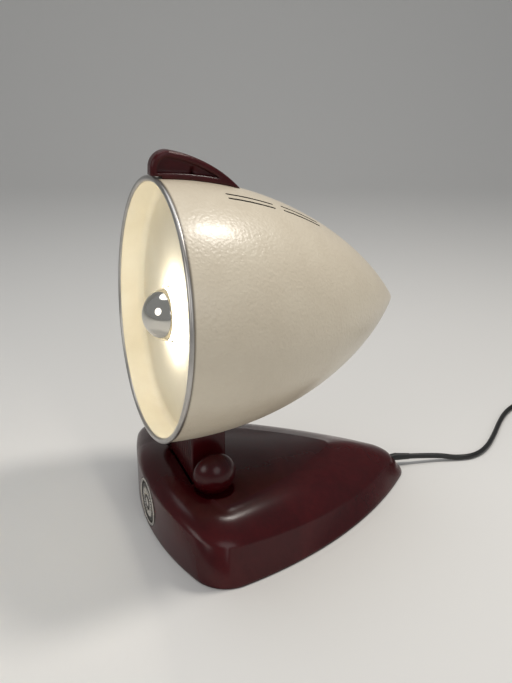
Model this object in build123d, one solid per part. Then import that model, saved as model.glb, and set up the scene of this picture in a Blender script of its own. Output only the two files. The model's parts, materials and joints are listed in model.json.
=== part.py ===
from build123d import *
import math
import os

# Free-standing sun lamp: a bullet-shaped enamelled shade on a fluted neck,
# which tilts between two ears of a hollow moulded foot and is clamped by two knobs.
# Millimetres. X is sideways, +Y points to the rear, +Z is up.
# The origin is on the table, straight under the tilt axis.

# Tilt joint
PIVOT_Z = 61.5          # height of the tilt axis above the table
PITCH = 4.5             # upward look of the shade, with the neck upright
BOLT_D = 6.0
RUN_GAP = 0.06          # radial clearance of a turning fit
FACE_GAP = 0.1          # axial clearance between turning faces
HOLE_GAP = 0.1          # radial clearance of a screw or bolt in a plain hole

# Shade
SHADE_R = 97.4          # largest outer radius
SHADE_CURVE_R = 261.7   # long arc of the bullet outline
SHADE_NOSE_R = 7.0
SHADE_T = 1.0
SHADE_WIDEST = 7.1      # distance of the largest radius behind the mouth
PIVOT_BACK = 43.5       # tilt axis behind the mouth, along the shade's axis
NECK_RISE = 26.3        # tilt axis to the shade's underside
VENT_W = 2.0
VENT_ROWS = ((45.0, 82.5, (15.6, 19.4)), (90.0, 123.0, (14.0, 18.4)))  # start, end, angles

# Mouth ring and reflector
RING_T = 1.2
RING_DEPTH = 5.0
RING_LIP = 3.2          # how far the ring reaches inwards over the reflector
RING_CLEAR = 0.6        # between the ring and the handle
REFLECTOR_DEPTH = 20.8
REFLECTOR_T = 0.8
REFLECTOR_CORNER_R = 5.0
CONE_R = 33.0           # foot of the raised cone round the bulb
CONE_RISE = 3.4
COLLAR_FRONT = 14.4     # front edge of the collar, behind the mouth
SEAT_GAP = 0.15         # between fitted pieces that don't move on each other
SCREW_R = 1.5           # small screws of the lampholder, plate and clamp
SCREW_HEAD_R = 2.8
SCREW_HEAD_H = 2.0

# Bulb and lampholder
BULB_R = 20.0
BULB_CENTRE = 15.4      # behind the mouth
BULB_DROP = 3.5         # bulb's axis below the shade's
BULB_LENGTH = 76.0
GLASS_T = 0.8
MIRROR_ANGLE = 81.0
CAP_R = 13.1
CAP_LENGTH = 27.0
COLLAR_GAP = 2.2        # between the bulb and the reflector's hole
HOLDER_R = 19.5
HOLDER_BACK = 8.0
STRAP_T = 1.5
STRAP_W = 16.0
STRAP_HALF = 36.0
STRAP_FOOT = 12.0
HOLDER_SCREW_X = 12.0   # lampholder's screws from the bulb's axis

# Neck
NECK_HALF = 28.5
NECK_DEPTH = 28.0
NECK_WALL = 4.0
NECK_TOP = 8.0          # solid part that takes the screws
NECK_TAIL_R = 18.2      # rounding about the tilt axis
FLUTES = 10
FLUTE_PITCH = 5.4
FLUTE_R = 1.7
FLUTE_DEPTH = 1.1
NECK_SCREW_X = 19.0
NECK_SCREW_R = 1.9
NECK_HEAD_R = 3.6
NECK_HEAD_H = 2.6
NECK_SCREW_Y = 7.0
TUBE_R = 4.5            # spacer tube on the bolt
SADDLE_EDGE = 2.0

# Handle
HANDLE_HALF = 5.5
HANDLE_WEB = 2.0        # half thickness of the web
HANDLE_RIM = 4.4
HANDLE_FOOT = 4.2
HANDLE_RISE = 19.3      # crest above the shade's widest outline
HANDLE_EDGE_R = 2.2
HANDLE_FRONT = -2.6     # from the mouth
HANDLE_REAR = 64.0
HANDLE_SCREWS = (28.0, 50.0)

# Ears and knobs
WASHER_T = 0.8
WASHER_R = 10.0
EAR_T = 5.0
EAR_R = 11.0
EAR_FOOT = 34.0
KNOB_R = 17.2
KNOB_BELLY = 5.1        # from the knob's back face to its widest place
KNOB_DOME = 14.0        # from its widest place to its tip
KNOB_SHOULDER_R = 10.0
KNOB_BOSS_R = 9.0
KNOB_BACK_R = 13.5
KNOB_STEP = 1.6         # the boss stands this far out of the knob's back
INSERT_R = 5.5
INSERT_LENGTH = 11.5
POCKET_GAP = 3.0
SLOT_GAP = 1.2

# Foot
FOOT_FRONT = 44.6       # tilt axis to the middle of the front
BOW_R = 240.0           # plan radius of the front
SIDE_R = 350.5          # plan radius of each side
SIDE_C = (246.6, -40.7) # centre of each side's radius
CORNER_R = 29.0
REAR_R = 26.0
FOOT_LIFT = 0.8         # gap between the shell's edge and the table
FOOT_WALL = 3.5
REAR_TIGHTEN = 0.35     # share of a level's inset that comes off the rear rounding
# Levels of the shell: inset at the front and sides, slide of the sides to the front,
# height at the front and at the rear end
FOOT_LEVELS = (
    (0.4, 1.5, 12.0, 41.0, 14.5),
    (2.0, 2.5, 15.0, 43.7, 16.5),
    (6.0, 4.0, 24.0, 47.2, 20.0),
    (13.0, 8.0, 34.0, 50.4, 25.0),
    (22.0, 14.0, 44.0, 51.6, 30.3),
    (30.0, 24.0, 50.0, 52.4, 36.0),
)
PAD_T = 2.0
PAD_MARGIN = 3.0
PLATE_T = 1.5
PLATE_GAP = 0.5
PLATE_LEAN = 0.6        # the sides lean in by this much up to the plate's top
PLATE_SLIDE = 5.0       # and slide to the front by this much
BOSSES = ((70.0, -8.0), (44.0, 118.0))
BOSS_R = 5.0
BOSS_SCREW_R = 1.45
BOSS_HEAD_R = 2.9
BOSS_HEAD_H = 1.6
PAD_HOLE_R = 5.5
BADGE_R = 20.0
BADGE_Z = 21.6
BADGE_T = 1.8
BADGE_SINK = 1.5
BADGE_STUD_R = 2.0

# Leads and cord
CORD_D = 5.0
EXIT_Z = 8.8
BOOT_R = 3.4
BOOT_END_R = 2.8
BOOT_LENGTH = 14.0
BOOT_FLANGE_IN = 14.4   # flange inside the foot, from the wall at the table
BOOT_FLANGE_T = 2.5
BOOT_SWING = 12.0
BOOT_DIP = 4.0
LEAD_BACK = 7.8         # lead behind the tilt axis, inside the neck
BLOCK_Y = 72.0          # middle of the terminal block
BLOCK_HALF = 12.0       # half its length
BLOCK_W = 22.0
BLOCK_H = 12.0
TERMINAL_X = 5.0
CLAMP_Y = 150.0
CLAMP_SCREW_X = 9.0
COIL_CENTRE = (-10.0, 416.0)
COIL_IN_R = 20.5
COIL_PITCH = 5.5
COIL_START = -15        # quarter turns before the middle of the coil
COIL_END = 14
COIL_LIFT = 1.0
TIE_T = 0.6
TIE_W = 5.0
PLUG_L = 38.0
PLUG_W = 34.0
PLUG_H = 13.4
PIN_D = 4.0
PIN_L = 19.0
PIN_SPACING = 18.6
PLUG_AHEAD = 50.0       # plug's cord end from the end of the coil
PLUG_OFFSET = Vector(0, -5.0, -2.1)

# Sizes that follow from those above
CORD_R = CORD_D / 2
BOLT_R = BOLT_D / 2
SHADE_ARC_C = SHADE_CURVE_R - SHADE_R
PIVOT_DROP = NECK_RISE + math.sqrt(SHADE_CURVE_R ** 2 - (PIVOT_BACK - SHADE_WIDEST) ** 2) - SHADE_ARC_C
HANDLE_CREST = SHADE_R + HANDLE_RISE
NOSE_C = SHADE_WIDEST + math.sqrt((SHADE_CURVE_R - SHADE_NOSE_R) ** 2 - SHADE_ARC_C ** 2)
SHADE_FRONT = 2 * SEAT_GAP + RING_T + REFLECTOR_T
RING_IN_R = SHADE_R + SEAT_GAP
EAR_IN = NECK_HALF + WASHER_T + 2 * FACE_GAP
EAR_OUT = EAR_IN + EAR_T
KNOB_IN = EAR_OUT + WASHER_T + FACE_GAP
BELLY_X = KNOB_IN + KNOB_BELLY
BOLT_END = KNOB_IN + INSERT_LENGTH - 2.0
NECK_FACE = NECK_DEPTH / 2
SLOT_HALF = NECK_FACE + SLOT_GAP
PLATE_TOP = PAD_T + PLATE_T
BULB_FRONT = BULB_CENTRE - BULB_R
BULB_END = BULB_FRONT + BULB_LENGTH
CAP_START = BULB_END - CAP_LENGTH
SHELL_R = CAP_R + RUN_GAP
HOLDER_START = CAP_START + 1.5
HOLDER_END = BULB_END + 2.5 + HOLDER_BACK
FLOOR_BACK = REFLECTOR_DEPTH + REFLECTOR_T
SIDE_DX, SIDE_CY = SIDE_C
FOOT_REAR = SIDE_CY + REAR_R + math.sqrt((SIDE_R - REAR_R) ** 2 - SIDE_DX ** 2)
FOOT_LENGTH = FOOT_FRONT + FOOT_REAR
FLANGE_Y = FOOT_REAR - FOOT_WALL - BOOT_FLANGE_IN
# Places in the shade's own frame: mouth at the origin, axis along +Y
SHADE_PLACE = Pos(0, 0, PIVOT_Z) * Rot(X=-PITCH) * Pos(0, -PIVOT_BACK, PIVOT_DROP)
BULB_PLACE = SHADE_PLACE * Pos(0, 0, -BULB_DROP)
PIVOT = Pos(0, 0, PIVOT_Z)


def rod(radius, start, end, x=0.0, z=0.0):
    """Cylinder along Y."""
    plane = Plane(origin=(x, start, z), x_dir=(1, 0, 0), z_dir=(0, 1, 0))
    return extrude(plane * Circle(radius), amount=end - start)


def cross_rod(radius, start, end, y=0.0, z=0.0):
    """Cylinder along X."""
    plane = Plane(origin=(start, y, z), x_dir=(0, 1, 0), z_dir=(1, 0, 0))
    return extrude(plane * Circle(radius), amount=end - start)


def post(radius, x, y, low, high):
    """Cylinder along Z."""
    return extrude(Plane(origin=(x, y, low)) * Circle(radius), amount=high - low)


def block(x0, x1, y0, y1, z0, z1):
    """Box between two corners."""
    return Pos(x0, y0, z0) * Box(x1 - x0, y1 - y0, z1 - z0, align=(Align.MIN, Align.MIN, Align.MIN))


def turned(points, axis=Axis.Y):
    """Revolve of a closed polygon of (radius, distance) points about Y."""
    return revolve(make_face(Polyline(*points, close=True)), axis)


def shade_radius(s, offset=0.0):
    """Radius of the bullet outline at a distance behind the mouth."""
    return math.sqrt((SHADE_CURVE_R + offset) ** 2 - (s - SHADE_WIDEST) ** 2) - SHADE_ARC_C


def bullet_edges(offset, start):
    """The long arc and the nose arc, from the mouth to the tip."""
    big = SHADE_CURVE_R + offset
    nose = SHADE_NOSE_R + offset
    scale = big / (SHADE_CURVE_R - SHADE_NOSE_R)
    touch = (-SHADE_ARC_C + SHADE_ARC_C * scale, SHADE_WIDEST + (NOSE_C - SHADE_WIDEST) * scale)
    middle_s = (start + touch[1]) / 2
    long_arc = ThreePointArc(
        (shade_radius(start, offset), start), (shade_radius(middle_s, offset), middle_s), touch)
    half = math.atan2(touch[0], touch[1] - NOSE_C) / 2
    nose_middle = (nose * math.sin(half), NOSE_C + nose * math.cos(half))
    return [long_arc, ThreePointArc(touch, nose_middle, (0, NOSE_C + nose))]


def bullet(offset=0.0, start=SHADE_FRONT):
    """Solid bullet with its outline moved out by an offset."""
    edges = bullet_edges(offset, start)
    edges.append(Line((0, SHADE_NOSE_R + offset + NOSE_C), (0, start)))
    edges.append(Line((0, start), (shade_radius(start, offset), start)))
    return revolve(make_face(edges), Axis.Y)


def vent(start, end, angle):
    """Cutter for one lengthwise slot at an angle from the top."""
    slot = Plane.XY * Pos(0, (start + end) / 2) * SlotOverall(end - start, VENT_W, rotation=90)
    return Rot(Y=angle) * Pos(0, 0, SHADE_R / 2) * extrude(slot, amount=SHADE_R)


def to_shade(shape):
    """Places a shape of the shade's own frame on the lamp."""
    return SHADE_PLACE * shape


def to_bulb(shape):
    """Places a shape whose Y axis is the bulb's axis."""
    return BULB_PLACE * shape


def in_shade(shape):
    """Takes a shape of the lamp's frame into the shade's own frame."""
    return SHADE_PLACE.inverse() * shape


def shade():
    shell = bullet() - bullet(-SHADE_T, SHADE_FRONT - 1)
    for start, end, angles in VENT_ROWS:
        for angle in angles:
            shell -= vent(start, end, angle)
            shell -= vent(start, end, -angle)
    middle = PIVOT_Z + PIVOT_DROP
    holes = [post(CORD_R + 2.0, 0, LEAD_BACK, PIVOT_Z, middle)]
    for x, y in neck_screw_places():
        holes.append(post(2.0 + HOLE_GAP, x, y, PIVOT_Z, middle))
    for hole in holes:
        shell -= in_shade(hole)
    for s in HANDLE_SCREWS:
        shell -= Pos(0, s, 0) * post(2.0 + HOLE_GAP, 0, 0, SHADE_R / 2, SHADE_R + 10)
    return to_shade(shell)


def mouth_ring():
    lip_r = RING_IN_R - RING_LIP
    bead_r = RING_IN_R + RING_T
    outer = [
        Line((lip_r, RING_T), (lip_r, 0.4)),
        ThreePointArc((lip_r, 0.4), (lip_r + 2.6, 0.1), (bead_r, RING_DEPTH / 2)),
        ThreePointArc(
            (bead_r, RING_DEPTH / 2), (bead_r - 0.25, RING_DEPTH * 0.8), (RING_IN_R + 0.4, RING_DEPTH)),
        Line((RING_IN_R + 0.4, RING_DEPTH), (RING_IN_R, RING_DEPTH)),
        Line((RING_IN_R, RING_DEPTH), (RING_IN_R, RING_T)),
        Line((RING_IN_R, RING_T), (lip_r, RING_T)),
    ]
    return to_shade(revolve(make_face(outer), Axis.Y))


def reflector():
    wall_r = RING_IN_R - RING_LIP - 0.6
    flange_r = RING_IN_R - SEAT_GAP
    front = RING_T + SEAT_GAP
    floor_r = CONE_R - BULB_DROP - 2
    t = REFLECTOR_T
    corner = REFLECTOR_CORNER_R
    lean = corner * (1 - math.sqrt(0.5))
    pan = [
        Line((flange_r, front), (wall_r, front)),
        Line((wall_r, front), (wall_r, REFLECTOR_DEPTH - corner)),
        ThreePointArc((wall_r, REFLECTOR_DEPTH - corner), (wall_r - lean, REFLECTOR_DEPTH - lean),
                      (wall_r - corner, REFLECTOR_DEPTH)),
        Line((wall_r - corner, REFLECTOR_DEPTH), (floor_r, REFLECTOR_DEPTH)),
        Line((floor_r, REFLECTOR_DEPTH), (floor_r, FLOOR_BACK)),
        Line((floor_r, FLOOR_BACK), (wall_r - corner, FLOOR_BACK)),
        ThreePointArc((wall_r - corner, FLOOR_BACK), (wall_r + t - lean - t * math.sqrt(0.5) * 0.41,
                      FLOOR_BACK - lean - t * math.sqrt(0.5) * 0.41), (wall_r + t, REFLECTOR_DEPTH - corner)),
        Line((wall_r + t, REFLECTOR_DEPTH - corner), (wall_r + t, front + t)),
        Line((wall_r + t, front + t), (flange_r, front + t)),
        Line((flange_r, front + t), (flange_r, front)),
    ]
    floor = revolve(make_face(pan), Axis.Y) - rod(CONE_R, 0, FLOOR_BACK + 1, z=-BULB_DROP)
    return to_shade(floor + Pos(0, 0, -BULB_DROP) * bulb_collar())


def bulb_collar():
    """Raised cone in the reflector's floor, with the collar that the bulb stands in."""
    hole_r = BULB_R + COLLAR_GAP
    t = REFLECTOR_T
    rise = REFLECTOR_DEPTH - CONE_RISE
    return turned([
        (CONE_R, REFLECTOR_DEPTH), (hole_r + t, rise), (hole_r + t, COLLAR_FRONT), (hole_r, COLLAR_FRONT),
        (hole_r, rise + t), (CONE_R, FLOOR_BACK)])


def strap():
    """Stirrup that carries the lampholder on the back of the reflector."""
    back = HOLDER_END + STRAP_T
    low = -STRAP_W / 2
    high = STRAP_W / 2
    body = block(-STRAP_HALF, STRAP_HALF, HOLDER_END, back, low, high)
    for side in (-1, 1):
        leg_in = side * (STRAP_HALF - STRAP_T)
        leg_out = side * STRAP_HALF
        foot_out = side * (STRAP_HALF + STRAP_FOOT)
        body += block(min(leg_in, leg_out), max(leg_in, leg_out), FLOOR_BACK, back, low, high)
        foot = sorted((leg_in, foot_out))
        body += block(*foot, FLOOR_BACK, FLOOR_BACK + STRAP_T, low, high)
        body -= rod(SCREW_R + HOLE_GAP, HOLDER_END - 1, back + 1, x=side * HOLDER_SCREW_X)
    body -= rod(CORD_R + 1.0, HOLDER_END - 1, back + 1)
    return to_bulb(body)


def holder_screws():
    screws = Part()
    for side in (-1, 1):
        head_start = HOLDER_END + STRAP_T
        x = side * HOLDER_SCREW_X
        screws += rod(SCREW_R, HOLDER_END - HOLDER_BACK + 2, head_start, x=x)
        screws += rod(SCREW_HEAD_R, head_start, head_start + SCREW_HEAD_H, x=x)
    return to_bulb(screws)


def holder_body():
    inner_r = SHELL_R + 0.6 + SEAT_GAP
    outer = HOLDER_R
    cavity_end = HOLDER_END - HOLDER_BACK
    body = turned([
        (inner_r, HOLDER_START), (outer - 1.2, HOLDER_START), (outer, HOLDER_START + 1.2),
        (outer, HOLDER_END - 3.0), (outer - 3.0, HOLDER_END), (CORD_R + 0.5, HOLDER_END),
        (CORD_R + 0.5, cavity_end), (inner_r, cavity_end)])
    for side in (-1, 1):
        body -= rod(SCREW_R, cavity_end + 2, HOLDER_END + 1, x=side * HOLDER_SCREW_X)
    return to_bulb(body)


def holder_shell():
    wall = 0.6
    end = BULB_END - 3.0
    return to_bulb(turned([
        (SHELL_R, HOLDER_START), (SHELL_R + wall, HOLDER_START),
        (SHELL_R + wall, end), (SHELL_R, end)]))


def holder_contact():
    start = BULB_END + FACE_GAP
    end = HOLDER_END - HOLDER_BACK
    spring = rod(3.5, start, end)
    return to_bulb(spring)


def bulb_outline(inset):
    """Revolved outline of the bulb's glass, moved inwards."""
    r = BULB_R - inset
    neck_r = CAP_R - 0.8 - inset
    front = BULB_CENTRE - r
    join_angle = math.radians(52)
    join = (r * math.sin(join_angle), BULB_CENTRE + r * math.cos(join_angle))
    waist = ((join[0] + neck_r) / 2 - 0.9, (join[1] + CAP_START) / 2 + 0.3)
    neck_end = CAP_START + 2.0
    edges = [
        Line((0, neck_end), (0, front)),
        ThreePointArc((0, front), (r, BULB_CENTRE), join),
        ThreePointArc(join, waist, (neck_r, CAP_START)),
        Line((neck_r, CAP_START), (neck_r, neck_end)),
        Line((neck_r, neck_end), (0, neck_end)),
    ]
    return revolve(make_face(edges), Axis.Y)


def bulb_glass():
    return to_bulb(bulb_outline(0.0) - bulb_outline(GLASS_T))


def bulb_mirror():
    """Silvered crown over the front of the bulb."""
    coat = 0.2
    ball = Pos(0, BULB_CENTRE, 0) * (Sphere(BULB_R + coat + 0.02) - Sphere(BULB_R + 0.02))
    edge = BULB_CENTRE - BULB_R * math.cos(math.radians(MIRROR_ANGLE))
    return to_bulb(ball & rod(BULB_R + 5, BULB_FRONT - 5, edge))


def bulb_stem():
    start = BULB_CENTRE + 8.0
    end = CAP_START + 2.0
    flare = CAP_R - 0.8 - GLASS_T - SEAT_GAP
    return to_bulb(turned([(0, start), (2.0, start), (2.6, end - 8), (flare, end), (0, end)]))


def bulb_filament():
    """Two lead wires and the filament arc that they hold up."""
    span = 9.0
    wire_r = 0.35
    start = BULB_CENTRE + 8.0
    hub = start - 0.2
    arc = ThreePointArc((-span, BULB_CENTRE, 0), (0, BULB_CENTRE - 2, span * 0.75), (span, BULB_CENTRE, 0))
    legs = Polyline((-span, BULB_CENTRE, 0), (-0.8, hub, 0))
    other = Polyline((span, BULB_CENTRE, 0), (0.8, hub, 0))
    wires = Part()
    for path in (arc, legs, other):
        wires += sweep(Plane(origin=path @ 0, z_dir=path % 0) * Circle(wire_r), path=path)
    for side in (-1, 1):
        wires += Pos(side * span, BULB_CENTRE, 0) * Sphere(wire_r * 1.6)
    return to_bulb(wires)


def bulb_cap():
    taper = BULB_END - 8.0
    wall = 0.4
    end = BULB_END - 4.0
    return to_bulb(turned([
        (CAP_R, CAP_START), (CAP_R, taper), (8.5, end), (8.5 - wall, end), (CAP_R - wall, taper - 0.5),
        (CAP_R - wall, CAP_START)]))


def bulb_insulator():
    start = BULB_END - 4.0
    return to_bulb(turned([(0, start), (8.4, start), (5.2, BULB_END - 1.2), (0, BULB_END - 1.2)]))


def bulb_contact():
    return to_bulb(rod(4.6, BULB_END - 1.2, BULB_END))


def handle_side():
    """Side outline of the handle in the plane of the shade's axis and the vertical."""
    bottom = SHADE_R / 2
    front = HANDLE_FRONT
    rear = HANDLE_REAR
    crest = HANDLE_CREST
    edges = [
        Line((front, bottom), (front, crest - 13.0)),
        ThreePointArc((front, crest - 13.0), (front + 3.6, crest - 3.4), (front + 12.4, crest)),
        ThreePointArc((front + 12.4, crest), (front + 39.0, crest - 7.2), (rear, crest - 25.0)),
        Line((rear, crest - 25.0), (rear, bottom)),
        Line((rear, bottom), (front, bottom)),
    ]
    return make_face(edges)


def side_plate(face, half):
    """Extrudes a (distance, height) outline evenly to both sides of the middle plane."""
    plane = Plane(origin=(-half, 0, 0), x_dir=(0, 1, 0), z_dir=(1, 0, 0))
    return extrude(plane * face, amount=2 * half)


def handle():
    outline = handle_side()
    body = side_plate(outline, HANDLE_HALF)
    top_edges = body.edges().filter_by(lambda e: abs(abs(e.center().X) - HANDLE_HALF) < 0.01)
    top_edges = top_edges.filter_by(lambda e: e.center().Z > SHADE_R)
    body = fillet(top_edges, HANDLE_EDGE_R)
    recess = side_plate(offset(outline, -HANDLE_RIM), HANDLE_HALF + 1)
    recess -= side_plate(offset(outline, 5), HANDLE_WEB)
    recess -= bullet(HANDLE_FOOT, -SHADE_R / 4)
    body -= recess
    body -= bullet(SEAT_GAP, RING_DEPTH + RING_CLEAR)
    body -= rod(RING_IN_R + RING_T + RING_CLEAR, -SHADE_R / 4, RING_DEPTH + RING_CLEAR)
    for s in HANDLE_SCREWS:
        body -= Pos(0, s, 0) * post(2.0, 0, 0, SHADE_R / 2, shade_radius(s) + 9)
    return to_shade(body)


def handle_screws():
    screws = Part()
    for s in HANDLE_SCREWS:
        seat = shade_radius(s, -SHADE_T) - 1.0
        screws += Pos(0, s, 0) * post(2.0, 0, 0, seat, shade_radius(s) + 8)
        screws += Pos(0, s, 0) * post(4.5, 0, 0, seat - 1.0, seat)
        screws += Pos(0, s, 0) * post(3.6, 0, 0, seat - 3.4, seat - 1.0)
    return to_shade(screws)


def neck_screw_places():
    return [(sx * NECK_SCREW_X, sy * NECK_SCREW_Y) for sx in (-1, 1) for sy in (-1, 1)]


def neck():
    top = PIVOT_Z + NECK_RISE + 1.5 * NECK_TOP
    body = block(-NECK_HALF, NECK_HALF, -NECK_FACE, NECK_FACE, PIVOT_Z, top)
    body -= to_shade(bullet(SEAT_GAP, -SHADE_R / 4))
    tail = cross_rod(NECK_TAIL_R, -NECK_HALF, NECK_HALF, z=PIVOT_Z)
    tail = tail & block(-NECK_HALF, NECK_HALF, -NECK_FACE, NECK_FACE, 0, PIVOT_Z + 1)
    body += tail
    upright = body.edges().filter_by(Axis.Z).filter_by(lambda e: e.center().Z > PIVOT_Z)
    body = chamfer(upright, 0.6)
    hollow_top = PIVOT_Z + NECK_RISE - NECK_TOP
    inner_x = NECK_HALF - NECK_WALL
    inner_y = NECK_FACE - NECK_WALL
    body -= block(-inner_x, inner_x, -inner_y, inner_y, 0, hollow_top)
    for i in range(FLUTES):
        x = (i - (FLUTES - 1) / 2) * FLUTE_PITCH
        body -= post(FLUTE_R, x, -NECK_FACE - FLUTE_R + FLUTE_DEPTH, 0, top)
    body -= cross_rod(TUBE_R + SEAT_GAP, -NECK_HALF - 1, NECK_HALF + 1, z=PIVOT_Z)
    body -= post(CORD_R + 0.5, 0, LEAD_BACK, 0, top)
    for x, y in neck_screw_places():
        body -= post(NECK_SCREW_R, x, y, hollow_top + 1, top)
    return body


def saddle_top():
    edge_rise = shade_radius(PIVOT_BACK) - math.sqrt(shade_radius(PIVOT_BACK) ** 2 - NECK_HALF ** 2)
    return PIVOT_Z + NECK_RISE + SHADE_T + edge_rise + SADDLE_EDGE


def neck_saddle():
    """Clamp block inside the shade that the neck's screws pull on."""
    x = NECK_HALF - 1.5
    y = NECK_FACE - 1.0
    body = block(-x, x, -y, y, PIVOT_Z, saddle_top())
    body = body & to_shade(bullet(-SHADE_T - 0.05, 0))
    body -= post(CORD_R + 1.0, 0, LEAD_BACK, PIVOT_Z, saddle_top() + 1)
    for sx, sy in neck_screw_places():
        body -= post(2.0 + HOLE_GAP, sx, sy, PIVOT_Z, saddle_top() + 1)
    return body


def neck_screws():
    screws = Part()
    top = saddle_top()
    low = PIVOT_Z + NECK_RISE - NECK_TOP + 1.5
    for x, y in neck_screw_places():
        screws += post(NECK_SCREW_R, x, y, low, top)
        screws += post(NECK_HEAD_R, x, y, top, top + NECK_HEAD_H)
    return screws


def spacer_tube():
    outer = cross_rod(TUBE_R, -NECK_HALF, NECK_HALF, z=PIVOT_Z)
    return outer - cross_rod(BOLT_R + RUN_GAP, -NECK_HALF - 1, NECK_HALF + 1, z=PIVOT_Z)


def pivot_bolt():
    return cross_rod(BOLT_R, -BOLT_END, BOLT_END, z=PIVOT_Z)


def washer_pair(inner_x, radius):
    """One washer on each side, outwards from a distance off the middle."""
    pair = Part()
    for start, end in ((inner_x, inner_x + WASHER_T), (-inner_x - WASHER_T, -inner_x)):
        ring = cross_rod(radius, start, end, z=PIVOT_Z)
        pair += ring - cross_rod(BOLT_R + HOLE_GAP, start - 1, end + 1, z=PIVOT_Z)
    return pair


def knob():
    """Right-hand knob, turned about X."""
    x = KNOB_IN
    bush_r = INSERT_R + 0.02
    bush_end = x + INSERT_LENGTH + 0.1
    step = x + KNOB_STEP
    apex = BELLY_X + KNOB_DOME
    rise = KNOB_R - KNOB_SHOULDER_R
    reach = KNOB_DOME - KNOB_SHOULDER_R
    crown_x = BELLY_X + (reach ** 2 - rise ** 2) / (2 * reach)
    crown_r = apex - crown_x
    lean = math.atan2(rise, BELLY_X - crown_x)
    touch = (crown_x + crown_r * math.cos(lean), crown_r * math.sin(lean))
    side = (math.pi / 2 + lean) / 2
    shoulder = (BELLY_X + KNOB_SHOULDER_R * math.cos(side), rise + KNOB_SHOULDER_R * math.sin(side))
    crown = (crown_x + crown_r * math.cos(lean / 2), crown_r * math.sin(lean / 2))
    outline = [
        Line((x, 0), (x, KNOB_BOSS_R)),
        Line((x, KNOB_BOSS_R), (step, KNOB_BOSS_R)),
        Line((step, KNOB_BOSS_R), (step, KNOB_BACK_R)),
        ThreePointArc((step, KNOB_BACK_R), (step + 1.3, KNOB_R - 1.1), (BELLY_X, KNOB_R)),
        ThreePointArc((BELLY_X, KNOB_R), shoulder, touch),
        ThreePointArc(touch, crown, (apex, 0)),
        Line((apex, 0), (x, 0)),
    ]
    body = revolve(make_face(outline), Axis.X)
    return PIVOT * (body - cross_rod(bush_r, x - 1, bush_end))


def knob_insert():
    end = KNOB_IN + INSERT_LENGTH
    bush = cross_rod(INSERT_R, KNOB_IN, end, z=PIVOT_Z)
    return bush - cross_rod(BOLT_R + RUN_GAP, KNOB_IN - 1, BOLT_END + 0.5, z=PIVOT_Z)


def to_left(shape):
    return Rot(Z=180) * shape


def rear_radius(side_in, slide):
    """Rounding of a plan outline's rear end."""
    return max(REAR_R - (side_in + slide) * REAR_TIGHTEN, REAR_R / 4)


def plan(front_in, side_in, slide=0.0):
    """Plan outline of the foot: bowed front, two bowed sides, rounded corners."""
    face = Pos(0, BOW_R - FOOT_FRONT) * Circle(BOW_R - front_in)
    for side in (-1, 1):
        face = face & (Pos(side * SIDE_DX, SIDE_CY - slide) * Circle(SIDE_R - side_in))
    corners = face.vertices().sort_by(Axis.Y)
    face = fillet(corners[:2], max(CORNER_R - (front_in + side_in) / 2, CORNER_R / 4))
    tip = face.vertices().sort_by(Axis.Y)[-1]
    return fillet(tip, rear_radius(side_in, slide))


def level(front_in, side_in, slide, front_z, rear_z):
    """Plan outline on a plane that falls from the front to the rear."""
    fall = (front_z - rear_z) / FOOT_LENGTH
    cut = Plane(origin=(0, -FOOT_FRONT, front_z), x_dir=(1, 0, 0), z_dir=(0, fall, 1))
    column = extrude(plan(front_in, side_in, slide), amount=2 * front_z)
    column = split(column, bisect_by=cut, keep=Keep.BOTTOM)
    return column.faces().sort_by(Axis.Z)[-1]


def skirt_y(height):
    """Distance behind the tilt axis of the skirt's rear end, at a height."""
    front_in, side_in, slide, front_z, rear_z = FOOT_LEVELS[0]
    radius = rear_radius(side_in, slide)
    top_y = SIDE_CY - slide + radius + math.sqrt((SIDE_R - side_in - radius) ** 2 - SIDE_DX ** 2)
    top_z = front_z - (front_z - rear_z) * (top_y + FOOT_FRONT) / FOOT_LENGTH
    return FOOT_REAR + (top_y - FOOT_REAR) * (height - FOOT_LIFT) / (top_z - FOOT_LIFT)


def foot_form(inset, bottom):
    """Outer form of the foot, moved inwards on all sides."""
    levels = [level(f + inset, s + inset, slide, a - inset, b - inset) for f, s, slide, a, b in FOOT_LEVELS]
    skirt = loft([Pos(0, 0, bottom) * plan(inset, inset), levels[0]], ruled=True)
    return skirt + loft(levels)


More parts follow.
